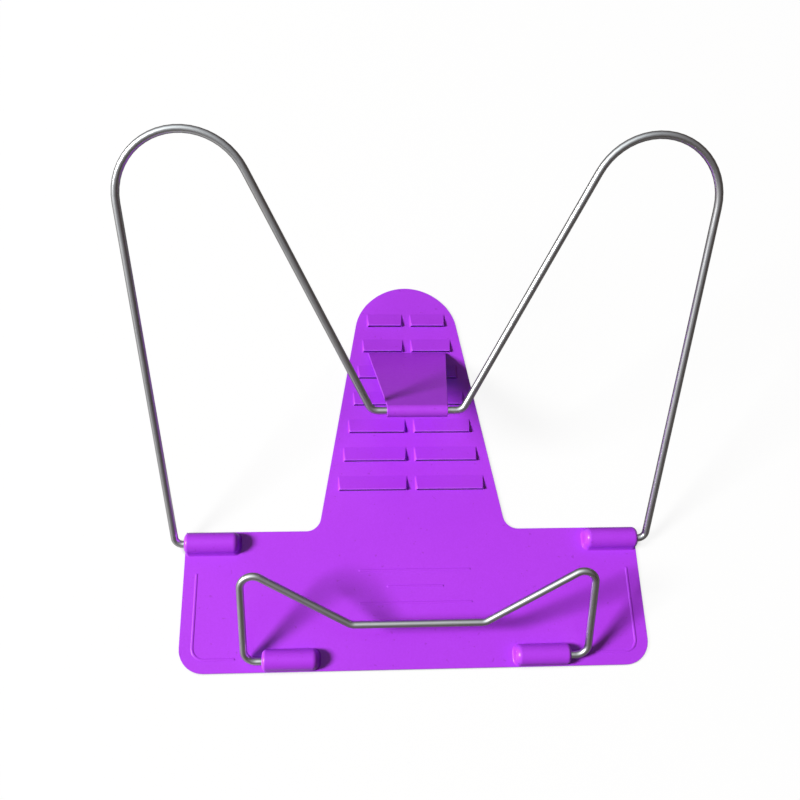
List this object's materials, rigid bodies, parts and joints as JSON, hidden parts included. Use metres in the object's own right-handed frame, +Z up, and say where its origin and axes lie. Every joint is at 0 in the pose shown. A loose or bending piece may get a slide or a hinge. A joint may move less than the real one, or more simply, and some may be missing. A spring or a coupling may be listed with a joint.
{
  "type": "book stand",
  "caption": "Folding book stand: pressed sheet-metal base with a louvred ratchet tongue, a looped wire back on hinges, a sheet prop that steps along the louvres, and a swing-up page wire.",
  "frame": {"origin": "on the underside of the base, midway along the line where the foot meets the tongue", "axes": "+X to the reader's right along the hinge pivots, +Y away from the reader along the tongue, +Z up from the table"},
  "size_m": [0.186, 0.1474, 0.1032],
  "materials": {
    "purple_paint": "satin powder coat on pressed steel sheet",
    "steel_wire": "bright drawn steel wire, plated"
  },
  "bodies": {
    "base": {"base_plate": "purple_paint"},
    "back": {"back_wire": "steel_wire"},
    "prop": {"prop": "purple_paint"},
    "page": {"page_wire": "steel_wire"}
  },
  "joints": [
    {"name": "back_tilt", "type": "hinge", "parent": "base", "child": "back", "pos_m": [0, -0.0045, 0.0024], "axis": [1, 0, 0], "range_deg": [0, 46]},
    {"name": "prop_swing", "type": "hinge", "parent": "back", "child": "prop", "pos_m": [0, 0.03066, 0.03823], "axis": [1, 0, 0], "range_deg": [-71.3, 0]},
    {"name": "page_swing", "type": "hinge", "parent": "base", "child": "page", "pos_m": [0, -0.0446, 0.0024], "axis": [1, 0, 0], "range_deg": [-42, 132]}
  ],
  "couplings": [
    {"joint": "prop_swing", "follows": "back_tilt", "ratio": -1.55}
  ]
}
